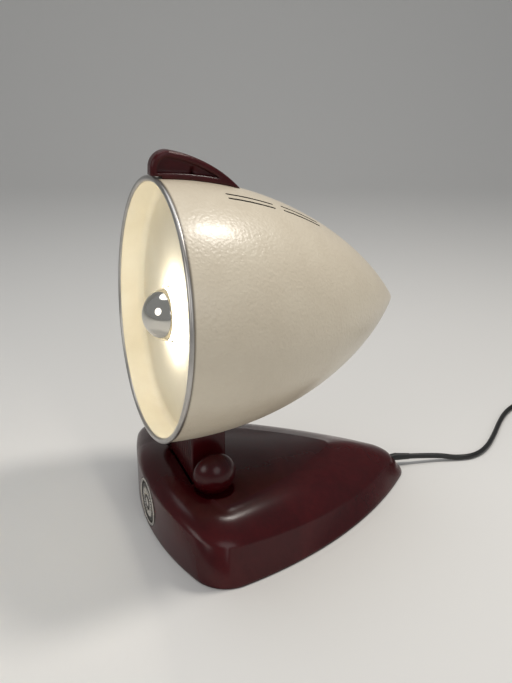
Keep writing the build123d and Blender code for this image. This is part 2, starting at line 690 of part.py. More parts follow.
def foot_shell():
    outer = foot_form(0.0, FOOT_LIFT)
    shell = outer - foot_form(FOOT_WALL, FOOT_LIFT - 2)
    ball_places = [Pos(side * BELLY_X, 0, PIVOT_Z) for side in (-1, 1)]
    pocket_r = KNOB_R + POCKET_GAP
    for place in ball_places:
        shell += (place * Sphere(pocket_r + FOOT_WALL)) & outer
    bosses = Part()
    for bx, by in BOSSES:
        bosses += post(BOSS_R, bx, by, PLATE_TOP, 60)
        bosses += post(BOSS_R, -bx, by, PLATE_TOP, 60)
    shell += bosses & outer
    for place in ball_places:
        shell -= place * Sphere(pocket_r)
    shell -= block(-EAR_IN, EAR_IN, -SLOT_HALF, SLOT_HALF, EAR_FOOT - 10, 90)
    for side in (-1, 1):
        ear = cross_rod(EAR_R, EAR_IN, EAR_OUT, z=PIVOT_Z)
        ear += block(EAR_IN, EAR_OUT, -EAR_R, EAR_R, EAR_FOOT, PIVOT_Z)
        shell += ear if side > 0 else to_left(ear)
    shell -= cross_rod(BOLT_R + HOLE_GAP, -90, 90, z=PIVOT_Z)
    for bx, by in BOSSES:
        shell -= post(BOSS_SCREW_R, bx, by, 0, PLATE_TOP + 9)
        shell -= post(BOSS_SCREW_R, -bx, by, 0, PLATE_TOP + 9)
    shell -= rod(BADGE_R + SEAT_GAP, -FOOT_FRONT - 5, -FOOT_FRONT + BADGE_SINK, z=BADGE_Z)
    shell -= rod(BADGE_STUD_R + HOLE_GAP, -FOOT_FRONT - 5, 0, z=BADGE_Z)
    shell -= rod(BOOT_R + HOLE_GAP, FLANGE_Y, FOOT_REAR + 1, z=EXIT_Z)
    return shell


def badge():
    """Plain round badge with a raised rim and rings, and a stud behind it."""
    back = -FOOT_FRONT + BADGE_SINK
    front = back - BADGE_T
    face = rod(BADGE_R, front, back, z=BADGE_Z)
    face -= rod(BADGE_R - 1.8, front - 1, front + 0.6, z=BADGE_Z)
    for outer, inner in ((BADGE_R - 4.0, BADGE_R - 5.0), (BADGE_R - 11.0, BADGE_R - 12.0)):
        face += rod(outer, front + 0.15, front + 0.6, z=BADGE_Z) - rod(inner, front, front + 1, z=BADGE_Z)
    face += rod(3.5, front + 0.15, front + 0.6, z=BADGE_Z)
    return face + rod(BADGE_STUD_R, back, back + 6.0, z=BADGE_Z)


def badge_clip():
    """Push-on spring nut that holds the badge from inside."""
    start = -FOOT_FRONT + FOOT_WALL + 1.2
    disc = rod(6.0, start, start + 0.8, z=BADGE_Z)
    return disc - rod(BADGE_STUD_R + 0.05, start - 1, start + 2, z=BADGE_Z)


def bottom_plate():
    inset = FOOT_WALL + PLATE_GAP
    body = extrude(Pos(0, 0, PAD_T) * plan(inset, inset + PLATE_LEAN, PLATE_SLIDE), amount=PLATE_T)
    for bx, by in BOSSES:
        body -= post(SCREW_R + HOLE_GAP, bx, by, 0, 10)
        body -= post(SCREW_R + HOLE_GAP, -bx, by, 0, 10)
    return body


def bottom_pad():
    inset = FOOT_WALL + PAD_MARGIN
    body = extrude(plan(inset, inset + PLATE_LEAN, PLATE_SLIDE), amount=PAD_T)
    for bx, by in BOSSES:
        body -= post(PAD_HOLE_R, bx, by, -1, 10)
        body -= post(PAD_HOLE_R, -bx, by, -1, 10)
    return body


def plate_screws():
    screws = Part()
    for bx, by in BOSSES:
        for x in (-bx, bx):
            screws += post(BOSS_SCREW_R, x, by, PAD_T, PLATE_TOP + 8)
            screws += post(BOSS_HEAD_R, x, by, PAD_T - BOSS_HEAD_H, PAD_T)
    return screws


def strain_relief():
    body = block(-6.0, 6.0, FLANGE_Y - BOOT_FLANGE_T, FLANGE_Y, EXIT_Z - BOOT_R, EXIT_Z + BOOT_R)
    body += rod(BOOT_R, FLANGE_Y, boot_root().Y + 1.0, z=EXIT_Z)
    cone = Cone(BOOT_R, BOOT_END_R, BOOT_LENGTH, align=(Align.CENTER, Align.CENTER, Align.MIN))
    return body + Plane(origin=boot_root(), z_dir=boot_direction()) * cone


def boot_direction():
    swing = math.radians(BOOT_SWING)
    dip = math.radians(BOOT_DIP)
    return Vector(math.sin(swing) * math.cos(dip), math.cos(swing) * math.cos(dip), -math.sin(dip))


def boot_root():
    """Where the boot leaves the hole in the skirt."""
    return Vector(0, skirt_y(EXIT_Z - BOOT_R) + 0.5, EXIT_Z)


def boot_end():
    return boot_root() + boot_direction() * BOOT_LENGTH


def route_radii(points, name):
    """Arc radius at each inner point: 0.45 of the shorter run over the tangent of half the turn."""
    radii = []
    for before, here, after in zip(points, points[1:], points[2:]):
        run_in = Vector(here) - Vector(before)
        run_out = Vector(after) - Vector(here)
        half_turn = math.radians(run_in.get_angle(run_out)) / 2
        radii.append(0.45 * min(run_in.length, run_out.length) / math.tan(half_turn))
    print(name, "radii", [round(r, 1) for r in radii])
    return radii


def tube_along(path, name):
    """Round cord along a path, with its volume set against section times length."""
    body = sweep(Plane(origin=path @ 0, z_dir=path % 0) * Circle(CORD_R), path=path)
    expected = math.pi * CORD_R ** 2 * path.length
    print(name, "length", round(path.length, 1), "volume ratio", round(body.volume / expected, 4))
    return body


def routed_tube(points, name):
    points = [tuple(Vector(p)) for p in points]
    return tube_along(FilletPolyline(*points, radius=route_radii(points, name)), name)


def cord_run():
    """Free cord from the boot over the table to the coil."""
    start = boot_end()
    near = start + boot_direction() * 30
    centre_x, centre_y = COIL_CENTRE
    enter_x = centre_x - coil_radius(COIL_START)
    points = [
        start, near, (15.0, 250.0, 2.8), (19.5, 269.0, 2.6), (12.0, 290.0, 2.6), (-6.0, 314.0, 2.6),
        (-26.0, 337.0, 2.6), (-42.0, 359.0, 2.6), (enter_x + 0.4, 380.0, 3.0),
        (enter_x, 396.0, coil_height(COIL_START)),
        (enter_x, centre_y - CORD_D, coil_height(COIL_START)),
    ]
    return routed_tube(points, "cord_run")


def coil_radius(quarter):
    return COIL_IN_R + COIL_PITCH * abs(quarter) / 4


def coil_height(quarter):
    low = CORD_R + COIL_LIFT
    climb = min(max((quarter + 1) / 2, 0.0), 1.0)
    return low + COIL_PITCH * climb


def coil_point(quarter):
    """Place and direction on the coil, which runs clockwise from its left side."""
    angle = math.pi - (quarter - COIL_START) * math.pi / 2
    radius = coil_radius(quarter)
    spread = COIL_PITCH / (2 * math.pi) * (1 if quarter > 0 else -1 if quarter < 0 else 0)
    rise = COIL_PITCH / math.pi * 1.5 if quarter == 0 else 0.0
    place = Vector(
        COIL_CENTRE[0] + radius * math.cos(angle),
        COIL_CENTRE[1] + radius * math.sin(angle),
        coil_height(quarter))
    if quarter in (COIL_START, COIL_END):
        spread = 0.0
    heading = Vector(
        radius * math.sin(angle) + spread * math.cos(angle),
        -radius * math.cos(angle) + spread * math.sin(angle), rise)
    return place, heading.normalized()


def biarc(start, start_dir, end, end_dir):
    """Two arcs that join two places and meet both directions."""
    span = end - start
    lean = span.dot(start_dir + end_dir)
    open_ = 2 * (1 - start_dir.dot(end_dir))
    reach = (-lean + math.sqrt(lean ** 2 + open_ * span.dot(span))) / open_
    middle = (start + end + (start_dir - end_dir) * reach) * 0.5
    first = TangentArc(start, middle, tangent=start_dir)
    return [first, TangentArc(middle, end, tangent=first % 1)]


def coil_path():
    stations = [coil_point(q) for q in range(COIL_START, COIL_END + 1)]
    first, first_dir = stations[0]
    last, last_dir = stations[-1]
    edges = [Line(first - first_dir * CORD_D, first)]
    for (a, a_dir), (b, b_dir) in zip(stations, stations[1:]):
        edges += biarc(a, a_dir, b, b_dir)
    edges.append(Line(last, last + last_dir * CORD_D))
    return Wire(edges)


def least_gap(path):
    """Least distance between turns of the coil, on points along it, less the cord."""
    count = 900
    spots = [path @ (i / count) for i in range(count + 1)]
    step = path.length / count
    skip = int(2 * math.pi * COIL_IN_R * 0.6 / step)
    least = min(
        (spots[i] - spots[j]).length for i in range(0, count + 1, 2) for j in range(i + skip, count + 1))
    return least - CORD_D


def cord_coil():
    path = coil_path()
    print("cord_coil least gap", round(least_gap(path), 2))
    return tube_along(path, "cord_coil")


def tail_end():
    last, last_dir = coil_point(COIL_END)
    return last + last_dir * CORD_D, last_dir


def cord_tail():
    """Short stretch from the coil down to the plug."""
    start, heading = tail_end()
    plug = start + heading * PLUG_AHEAD + PLUG_OFFSET
    points = [
        start, start + heading * 9 + Vector(0, 0, -0.6), start + heading * 20 + Vector(0, -2.0, -3.4),
        start + heading * 31 + Vector(0, -4.5, -3.6), plug - heading * 9, plug]
    return routed_tube(points, "cord_tail")


def plug_place():
    start, heading = tail_end()
    place = start + heading * PLUG_AHEAD + PLUG_OFFSET
    return Plane(origin=place, x_dir=(0, 1, 0), z_dir=heading)


def plug_body():
    """Flat two-pin plug, lying on its broad side; its cord end tapers."""
    neck = Rectangle(9.5, 9.0)
    waist = Pos(0, 0, 14.0) * Rectangle(PLUG_W * 0.72, PLUG_H)
    front = Pos(0, 0, PLUG_L) * Rectangle(PLUG_W, PLUG_H)
    neck = fillet(neck.vertices(), 3.0)
    waist = fillet(waist.vertices(), 4.0)
    front = fillet(front.vertices(), 4.0)
    body = loft([neck, waist, front], ruled=True)
    return plug_place() * body


def plug_pins():
    pins = Part()
    for side in (-1, 1):
        pins += Pos(side * PIN_SPACING / 2, 0, PLUG_L) * extrude(Circle(PIN_D / 2), amount=PIN_L)
    pins = fillet(pins.edges().sort_by(Axis.Z)[-2:], 1.2)
    return plug_place() * pins


def cord_tie():
    """Flat strap round the coil's bundle, across the turns on its right side."""
    centre_x, centre_y = COIL_CENTRE
    inner = COIL_IN_R - CORD_R - 1.2
    outer = coil_radius(COIL_START) + CORD_R + 1.2
    low = 0.05 + TIE_T
    high = coil_height(COIL_END) + CORD_R + 0.4
    width = outer - inner
    height = high - low
    middle_x = centre_x + (inner + outer) / 2
    middle_z = (low + high) / 2
    plane = Plane(origin=(middle_x, centre_y - TIE_W / 2, middle_z), x_dir=(1, 0, 0), z_dir=(0, 1, 0))
    outside = RectangleRounded(width + 2 * TIE_T, height + 2 * TIE_T, 3.0 + TIE_T)
    band = extrude(plane * (outside - RectangleRounded(width, height, 3.0)), amount=TIE_W)
    return band


def inner_leads():
    """Lead from the strain relief to the terminal block."""
    return rod(CORD_R, BLOCK_Y + BLOCK_HALF, FLANGE_Y - BOOT_FLANGE_T, z=EXIT_Z)


def terminal_block():
    front = BLOCK_Y - BLOCK_HALF
    back = BLOCK_Y + BLOCK_HALF
    top = PLATE_TOP + BLOCK_H
    body = block(-BLOCK_W / 2, BLOCK_W / 2, front, back, PLATE_TOP, top)
    body = fillet(body.edges().filter_by(Axis.Z), 1.5)
    for side in (-1, 1):
        body -= post(2.2, side * TERMINAL_X, BLOCK_Y, PLATE_TOP + 5, top + 1)
    return body


def terminal_screws():
    screws = Part()
    for side in (-1, 1):
        screws += post(2.1, side * TERMINAL_X, BLOCK_Y, PLATE_TOP + 5, PLATE_TOP + BLOCK_H - 1)
    return screws


def cord_clamp():
    body = block(-14, 14, CLAMP_Y - 5, CLAMP_Y + 5, PLATE_TOP, EXIT_Z + CORD_R + 2.5)
    body = fillet(body.edges().filter_by(Axis.Z), 2.0)
    body -= rod(CORD_R + 0.05, CLAMP_Y - 10, CLAMP_Y + 10, z=EXIT_Z)
    for side in (-1, 1):
        body -= post(SCREW_R + HOLE_GAP, side * CLAMP_SCREW_X, CLAMP_Y, 0, 30)
    return body


def clamp_screws():
    screws = Part()
    top = EXIT_Z + CORD_R + 2.5
    for side in (-1, 1):
        screws += post(SCREW_R, side * CLAMP_SCREW_X, CLAMP_Y, PLATE_TOP, top)
        screws += post(SCREW_HEAD_R, side * CLAMP_SCREW_X, CLAMP_Y, top, top + SCREW_HEAD_H)
    return screws


def flex_lead():
    """Loop from the terminal block up into the neck; it bends as the head tilts."""
    points = [
        (0, BLOCK_Y - BLOCK_HALF, EXIT_Z), (0, BLOCK_Y - 30, EXIT_Z),
        (0, 24.0, 14.0), (0, LEAD_BACK + 0.4, 34.0),
        (0, LEAD_BACK, PIVOT_Z - 12.0), (0, LEAD_BACK + 0.01, PIVOT_Z)]
    return routed_tube(points, "flex_lead")


def head_lead():
    """Lead through the neck into the shade and round to the back of the lampholder."""
    entry = BULB_PLACE * Pos(0, HOLDER_END - HOLDER_BACK + 2, 0)
    behind = BULB_PLACE * Pos(0, HOLDER_END + 18, 0)
    corner = SHADE_PLACE * Pos(0, HOLDER_END + 42, -14)
    low = SHADE_PLACE * Pos(0, HOLDER_END + 30, -44)
    inside_z = PIVOT_Z + NECK_RISE
    points = [
        (0, LEAD_BACK, PIVOT_Z + FACE_GAP), (0, LEAD_BACK + 0.01, inside_z + 14),
        (0, LEAD_BACK + 9, inside_z + 34), (0, LEAD_BACK + 32, inside_z + 48),
        low.position, corner.position, behind.position, entry.position]
    return routed_tube(points, "head_lead")


PARTS = {
    "base_shell": foot_shell,
    "bottom_plate": bottom_plate,
    "bottom_pad": bottom_pad,
    "bottom_plate_screws": plate_screws,
    "front_badge": badge,
    "badge_clip": badge_clip,
    "pivot_bolt": pivot_bolt,
    "friction_washers": lambda: washer_pair(NECK_HALF + FACE_GAP, WASHER_R),
    "knob_washers": lambda: washer_pair(EAR_OUT, KNOB_BOSS_R - 1),
    "strain_relief": strain_relief,
    "cord_clamp": cord_clamp,
    "cord_clamp_screws": clamp_screws,
    "terminal_block": terminal_block,
    "terminal_screws": terminal_screws,
    "base_lead": inner_leads,
    "flex_lead": flex_lead,
    "shade": shade,
    "mouth_ring": mouth_ring,
    "reflector": reflector,
    "lampholder_strap": strap,
    "lampholder_screws": holder_screws,
    "lampholder_body": holder_body,
    "lampholder_shell": holder_shell,
    "lampholder_contact": holder_contact,
    "handle": handle,
    "handle_screws": handle_screws,
    "neck": neck,
    "neck_saddle": neck_saddle,
    "neck_screws": neck_screws,
    "spacer_tube": spacer_tube,
    "head_lead": head_lead,
    "bulb_glass": bulb_glass,
    "bulb_mirror": bulb_mirror,
    "bulb_stem": bulb_stem,
    "bulb_filament": bulb_filament,
    "bulb_cap": bulb_cap,
    "bulb_insulator": bulb_insulator,
    "bulb_contact": bulb_contact,
    "knob_right": knob,
    "knob_insert_right": knob_insert,
    "knob_left": lambda: to_left(knob()),
    "knob_insert_left": lambda: to_left(knob_insert()),
    "cord_run": cord_run,
    "cord_coil": cord_coil,
    "cord_tail": cord_tail,
    "cord_tie": cord_tie,
    "plug_body": plug_body,
    "plug_pins": plug_pins,
}


def main():
    os.makedirs("parts", exist_ok=True)
    for name, make in PARTS.items():
        export_step(make(), f"parts/{name}.step")


if __name__ == "__main__":
    main()
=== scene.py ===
import json
import math
import bmesh
import bpy
from mathutils import Matrix, Vector


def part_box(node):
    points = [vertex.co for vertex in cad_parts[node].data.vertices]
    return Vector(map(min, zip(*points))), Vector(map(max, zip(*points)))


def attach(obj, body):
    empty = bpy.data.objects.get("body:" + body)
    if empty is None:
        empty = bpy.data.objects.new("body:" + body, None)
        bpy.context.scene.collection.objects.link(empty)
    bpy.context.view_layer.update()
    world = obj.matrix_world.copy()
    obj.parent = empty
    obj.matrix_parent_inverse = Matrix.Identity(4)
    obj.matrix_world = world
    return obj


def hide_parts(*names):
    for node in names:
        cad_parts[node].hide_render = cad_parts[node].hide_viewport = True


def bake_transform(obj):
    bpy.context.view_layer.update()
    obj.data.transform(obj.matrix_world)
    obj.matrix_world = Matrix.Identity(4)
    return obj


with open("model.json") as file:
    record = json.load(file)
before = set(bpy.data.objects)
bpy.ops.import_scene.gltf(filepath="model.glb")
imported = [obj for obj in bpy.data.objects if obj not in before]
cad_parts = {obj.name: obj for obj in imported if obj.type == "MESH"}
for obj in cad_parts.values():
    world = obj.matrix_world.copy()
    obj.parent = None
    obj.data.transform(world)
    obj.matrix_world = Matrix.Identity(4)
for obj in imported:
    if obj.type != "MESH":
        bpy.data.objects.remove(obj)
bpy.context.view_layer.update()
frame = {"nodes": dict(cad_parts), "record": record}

nodes = frame["nodes"]
collection = bpy.context.scene.collection

# The shade's direction from its mouth to its closed end, and the centre of its mouth.
SHADE_PITCH = math.radians(4.5)
SHADE_AXIS = Vector((0.0, math.cos(SHADE_PITCH), -math.sin(SHADE_PITCH)))
MOUTH = Vector((0.0, -0.03386, 0.18570))


class Graph:
    """A material's node graph, built with short calls that hand on sockets."""

    def __init__(self, name):
        self.material = bpy.data.materials.new(name)
        self.material.use_nodes = True
        self.tree = self.material.node_tree
        self.shader = self.tree.nodes["Principled BSDF"]
        self.coord = self.add("ShaderNodeTexCoord").outputs["Object"]

    def add(self, kind, **values):
        node = self.tree.nodes.new(kind)
        for key, value in values.items():
            setattr(node, key, value)
        return node

    def put(self, socket, value):
        """Links a socket to another one, or gives it a plain value."""
        if hasattr(value, "is_linked"):
            self.tree.links.new(value, socket)
        else:
            socket.default_value = value

    def set(self, **values):
        """Fills inputs of the shader, whose names are written with low lines for spaces."""
        for key, value in values.items():
            self.put(self.shader.inputs[key.replace("_", " ")], value)

    def stretched(self, scale):
        """Coordinates scaled along each axis by its own factor."""
        node = self.add("ShaderNodeMapping")
        self.put(node.inputs["Vector"], self.coord)
        node.inputs["Scale"].default_value = scale
        return node.outputs["Vector"]

    def noise(self, scale, detail=3.0, rough=0.5, distortion=0.0, vector=None):
        """Cloudy noise over the object's own coordinates, or over others."""
        node = self.add("ShaderNodeTexNoise")
        self.put(node.inputs["Vector"], vector or self.coord)
        node.inputs["Scale"].default_value = scale
        node.inputs["Detail"].default_value = detail
        node.inputs["Roughness"].default_value = rough
        node.inputs["Distortion"].default_value = distortion
        return node.outputs["Fac"]

    def cells(self, scale, vector):
        """Distance to the middle of smooth cells."""
        node = self.add("ShaderNodeTexVoronoi", feature="SMOOTH_F1")
        self.put(node.inputs["Vector"], vector)
        node.inputs["Scale"].default_value = scale
        return node.outputs["Distance"]

    def warped(self, scale, reach):
        """Coordinates shifted about by a noise."""
        node = self.add("ShaderNodeTexNoise")
        self.put(node.inputs["Vector"], self.coord)
        node.inputs["Scale"].default_value = scale
        shift = self.add("ShaderNodeVectorMath", operation="MULTIPLY_ADD")
        self.put(shift.inputs[0], node.outputs["Color"])
        shift.inputs[1].default_value = (reach, reach, reach)
        self.put(shift.inputs[2], self.coord)
        return shift.outputs["Vector"]

    def eased(self, radius):
        """Normal with the edges rounded over a radius."""
        node = self.add("ShaderNodeBevel", samples=6)
        node.inputs["Radius"].default_value = radius
        return node.outputs["Normal"]

    def behind_mouth(self):
        """Distance behind the plane of the shade's mouth."""
        along = self.add("ShaderNodeVectorMath", operation="DOT_PRODUCT")
        self.put(along.inputs[0], self.coord)
        along.inputs[1].default_value = SHADE_AXIS
        return self.math("SUBTRACT", along.outputs["Value"], MOUTH.dot(SHADE_AXIS))

    def mixed(self, fac, first, second):
        """Mix of a colour socket and a plain colour."""
        node = self.add("ShaderNodeMix", data_type="RGBA")
        colour_a, colour_b = node.inputs[6], node.inputs[7]
        self.put(node.inputs["Factor"], fac)
        self.put(colour_a, first)
        self.put(colour_b, (*second, 1.0))
        return node.outputs[2]

    def math(self, operation, a, b=0.0):
        node = self.add("ShaderNodeMath", operation=operation)
        self.put(node.inputs[0], a)
        self.put(node.inputs[1], b)
        return node.outputs[0]

    def range(self, value, low, high, out_low, out_high):
        """A value from one range brought into another and kept within it."""
        node = self.add("ShaderNodeMapRange", clamp=True)
        for socket, number in zip(("Value", "From Min", "From Max", "To Min", "To Max"),
                                  (value, low, high, out_low, out_high)):
            self.put(node.inputs[socket], number)
        return node.outputs["Result"]

    def colours(self, fac, *stops):
        """Colour ramp through stops of (place, colour)."""
        node = self.add("ShaderNodeValToRGB")
        self.put(node.inputs["Fac"], fac)
        ramp = node.color_ramp
        while len(ramp.elements) < len(stops):
            ramp.elements.new(0.5)
        for element, (place, colour) in zip(ramp.elements, stops):
            element.position = place
            element.color = (*colour, 1.0)
        return node.outputs["Color"]

    def bump(self, height, strength, distance, under=None):
        """Normal bumped by a height, on top of another normal if there is one."""
        node = self.add("ShaderNodeBump")
        self.put(node.inputs["Height"], height)
        node.inputs["Strength"].default_value = strength
        node.inputs["Distance"].default_value = distance
        if under is not None:
            self.put(node.inputs["Normal"], under)
        return node.outputs["Normal"]


def bakelite(name):
    """Dark maroon moulding, mottled and polished, with its mould edges eased."""
    g = Graph(name)
    swirl = g.noise(14.0, 5.0, 0.55, 1.2)
    speck = g.noise(160.0, 3.0, 0.6)
    smear = g.noise(30.0, 5.0, 0.65, 0.6, g.stretched((1.0, 0.35, 1.0)))
    tone = g.math("ADD", g.math("MULTIPLY", swirl, 0.75), g.math("MULTIPLY", speck, 0.25))
    g.set(Base_Color=g.colours(tone, (0.3, (0.030, 0.0014, 0.0024)), (0.52, (0.047, 0.0022, 0.0036)),
                               (0.72, (0.068, 0.0042, 0.0054))),
          Roughness=g.range(smear, 0.35, 0.7, 0.2, 0.27),
          Normal=g.bump(g.noise(420.0, 2.0), 0.04, 0.0001, g.eased(0.003)))
    g.set(IOR=1.5, Specular_IOR_Level=0.3)
    return g.material


def hammered_enamel(name):
    """Cream enamel with a hammered surface and a painted shadow line behind the ring."""
    g = Graph(name)
    wander = g.warped(140.0, 0.0022)
    dents = g.cells(460.0, vector=wander)
    ripple = g.noise(270.0, 3.0, 0.55, 0.9)
    patina = g.noise(9.0, 5.0, 0.6, 0.5)
    stain = g.noise(48.0, 6.0, 0.7, 1.0)
    height = g.math("ADD", g.math("MULTIPLY", dents, 0.8), g.math("MULTIPLY", ripple, 0.9))
    colour = g.colours(g.math("ADD", g.math("MULTIPLY", patina, 0.75), g.math("MULTIPLY", stain, 0.25)),
                       (0.32, (0.63, 0.55, 0.425)), (0.5, (0.68, 0.6, 0.47)), (0.7, (0.72, 0.645, 0.51)))
    # Painted shade: a thin band just behind the ring is darkened, as if it lay in the ring's shadow.
    painted_ring_shadow = g.range(g.behind_mouth(), 0.0030, 0.0042, 0.85, 0.0)
    g.set(Base_Color=g.mixed(painted_ring_shadow, colour, (0.14, 0.115, 0.085)),
          Roughness=g.range(stain, 0.3, 0.7, 0.3, 0.4), Normal=g.bump(height, 0.5, 0.0006))
    g.set(Coat_Weight=0.3, Coat_Roughness=0.2)
    return g.material


def smooth_enamel(name):
    """Cream enamel of the reflector, with a faint orange peel."""
    g = Graph(name)
    patina = g.noise(16.0, 4.0, 0.55, 0.3)
    orange_peel = g.noise(520.0, 2.0, 0.5)
    g.set(Base_Color=g.colours(patina, (0.3, (0.72, 0.645, 0.48)), (0.55, (0.79, 0.725, 0.57)),
                               (0.75, (0.83, 0.775, 0.63))),
          Roughness=g.range(patina, 0.3, 0.7, 0.32, 0.42), Normal=g.bump(orange_peel, 0.2, 0.0003))
    return g.material


def painted_inside_shade(name):
    """Dull dark coat inside the shade: painted shade, standing in for the unlit inside seen through the
    vents.
    """
    g = Graph(name)
    cloud = g.noise(40.0, 4.0, 0.6)
    g.set(Base_Color=g.colours(cloud, (0.3, (0.035, 0.032, 0.028)), (0.7, (0.06, 0.055, 0.048))),
          Roughness=0.7, Normal=g.bump(g.noise(500.0, 2.0), 0.1, 0.0003))
    return g.material


def metal(name, dark, bright, rough, grain=(1.0, 1.0, 1.0), scale=400.0, bump=0.06):
    """Metal between two tones, with a fine grain that can run one way."""
    g = Graph(name)
    brush = g.noise(scale, 3.0, 0.6, 0.0, g.stretched(grain))
    haze = g.noise(35.0, 4.0, 0.6)
    g.set(Base_Color=g.colours(haze, (0.3, dark), (0.65, bright)), Metallic=1.0,
          Roughness=g.range(g.math("ADD", g.math("MULTIPLY", brush, 0.6), g.math("MULTIPLY", haze, 0.4)),
                            0.3, 0.7, rough * 0.75, rough * 1.3),
          Normal=g.bump(brush, bump, 0.0001))
    return g.material


def moulded(name, dark, bright, rough, scale, bump):
    """Rubber, plastic, fibre, porcelain or black glass between two tones."""
    g = Graph(name)
    patina = g.noise(22.0, 4.0, 0.6)
    grain = g.noise(scale, 2.0, 0.6)
    g.set(Base_Color=g.colours(patina, (0.3, dark), (0.7, bright)),
          Roughness=g.range(g.noise(60.0, 4.0, 0.6), 0.3, 0.7, rough * 0.85, rough * 1.2),
          Normal=g.bump(grain, bump, 0.0002))
    return g.material


def felt(name):
    """Pressed green-grey felt."""
    g = Graph(name)
    fibres = g.noise(900.0, 5.0, 0.8, 2.0)
    tufts = g.noise(140.0, 4.0, 0.7)
    g.set(Base_Color=g.colours(tufts, (0.3, (0.035, 0.05, 0.037)), (0.7, (0.07, 0.09, 0.065))),
          Roughness=0.95, Normal=g.bump(fibres, 0.7, 0.0006))
    g.set(Sheen_Weight=0.4)
    return g.material


def lit_glass(name):
    """Warm glowing glass of the lit bulb."""
    g = Graph(name)
    haze = g.noise(30.0, 3.0, 0.5)
    g.set(Base_Color=g.colours(haze, (0.3, (0.95, 0.9, 0.78)), (0.7, (1.0, 0.97, 0.9))),
          Roughness=g.range(haze, 0.3, 0.7, 0.03, 0.08))
    g.set(Emission_Color=(1.0, 0.9, 0.68, 1.0), Emission_Strength=1.25)
    return g.material


def silvering(name):
    """Mirror coat of the bulb's crown."""
    g = Graph(name)
    haze = g.noise(24.0, 4.0, 0.6)
    g.set(Base_Color=g.colours(haze, (0.3, (0.66, 0.63, 0.56)), (0.7, (0.8, 0.78, 0.73))),
          Metallic=1.0, Roughness=g.range(haze, 0.3, 0.7, 0.03, 0.08))
    return g.material


SLOTS = {
    "bakelite": bakelite("bakelite"),
    "enamel_outer": hammered_enamel("enamel_outer"),
    "enamel_inner": smooth_enamel("enamel_inner"),
    "ring_aluminium": metal("ring_aluminium", (0.42, 0.4, 0.38), (0.58, 0.56, 0.54), 0.36,
                            grain=(1, 1, 8), scale=300.0, bump=0.03),
    "zinc_steel": metal("zinc_steel", (0.42, 0.42, 0.4), (0.58, 0.58, 0.56), 0.42, grain=(1, 6, 1)),
    "steel": metal("steel", (0.45, 0.45, 0.45), (0.6, 0.6, 0.6), 0.3, scale=900.0),
    "brass": metal("brass", (0.55, 0.38, 0.16), (0.75, 0.56, 0.27), 0.26, scale=700.0),
    "badge_brass": metal("badge_brass", (0.42, 0.39, 0.35), (0.72, 0.69, 0.64), 0.26, scale=500.0,
                         bump=0.12),
    "felt": felt("felt"),
    "fibre": moulded("fibre", (0.09, 0.04, 0.02), (0.16, 0.08, 0.045), 0.6, 300.0, 0.3),
    "cord_rubber": moulded("cord_rubber", (0.006, 0.006, 0.006), (0.015, 0.015, 0.015), 0.33,
                           700.0, 0.12),
    "plug_plastic": moulded("plug_plastic", (0.008, 0.008, 0.008), (0.018, 0.018, 0.018), 0.42,
                            900.0, 0.25),
    "tie_strap": moulded("tie_strap", (0.01, 0.01, 0.01), (0.02, 0.02, 0.02), 0.5, 500.0, 0.3),
    "porcelain": moulded("porcelain", (0.72, 0.7, 0.64), (0.82, 0.81, 0.77), 0.14, 200.0, 0.04),
    "black_glass": moulded("black_glass", (0.006, 0.006, 0.007), (0.014, 0.014, 0.015), 0.08, 200.0, 0.03),
    "bulb_glass": lit_glass("bulb_glass"),
    "mirror_coat": silvering("mirror_coat"),
}

for part in frame["record"]["subparts"]:
    mesh = nodes[part["node"]].data
    mesh.materials.clear()
    mesh.materials.append(SLOTS[part["material_slot"]])
    for face in mesh.polygons:
        face.material_index = 0


# Faces of the shade that lean outwards by less than this share count as its inside.
INSIDE_LEAN = 0.2


def darken_inside(mesh):
    """Painted shade on the faces of the shade that look towards its axis or across it, the vents' walls
    among them.
    """
    mesh.materials.append(painted_inside_shade("painted_inside_shade"))
    for face in mesh.polygons:
        off = face.center - MOUTH
        off -= SHADE_AXIS * off.dot(SHADE_AXIS)
        if face.normal.dot(off) < INSIDE_LEAN * off.length:
            face.material_index = 1


darken_inside(nodes["shade"].data)


def show(name, data, slot, body, *replaced):
    """Makes an object of mesh data, and rides it on a body in place of its nodes."""
    data.materials.clear()
    data.materials.append(SLOTS[slot])
    made = bpy.data.objects.new(name, data)
    collection.objects.link(made)
    if body:
        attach(made, body)
    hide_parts(*replaced)
    return made


def piece(name, mesh, slot, body, *replaced):
    """The same, of a bmesh."""
    bmesh.ops.recalc_face_normals(mesh, faces=mesh.faces)
    data = bpy.data.meshes.new(name)
    mesh.to_mesh(data)
    mesh.free()
    for face in data.polygons:
        face.use_smooth = True
    return show(name, data, slot, body, *replaced)


def hoop(centre, along, radius, steps):
    """Places evenly round a circle that faces along a direction."""
    side = Vector((1.0, 0.0, 0.0))
    over = along.cross(side)
    return [centre + radius * (side * math.cos(a) + over * math.sin(a))
            for a in (2 * math.pi * k / steps for k in range(steps))]


def skin(mesh, rows):
    """Faces between each closed row of vertices and the next."""
    for first, second in zip(rows, rows[1:]):
        for k in range(len(first)):
            after = (k + 1) % len(first)
            mesh.faces.new((first[k], first[after], second[after], second[k]))


def turned(profile, centre, steps=192, closed=True):
    """Mesh of a profile of (radius, depth) turned about the shade's direction."""
    mesh = bmesh.new()
    rows = []
    for radius, depth in profile:
        places = hoop(centre + SHADE_AXIS * depth, SHADE_AXIS, radius, steps)
        rows.append([mesh.verts.new(place) for place in places])
    skin(mesh, rows + rows[:1] if closed else rows)
    return mesh


RING_PROFILE = [(0.0944, 0.0024), (0.0942, 0.0012), (0.0944, 0.0005), (0.0949, -0.0001),
                (0.0957, -0.0004), (0.0966, -0.0004), (0.0974, -0.0001), (0.0980, 0.0006),
                (0.0982, 0.0014), (0.0980, 0.0021), (0.0975, 0.0025)]
piece("bead", turned(RING_PROFILE, MOUTH), "ring_aluminium", "head", "mouth_ring")

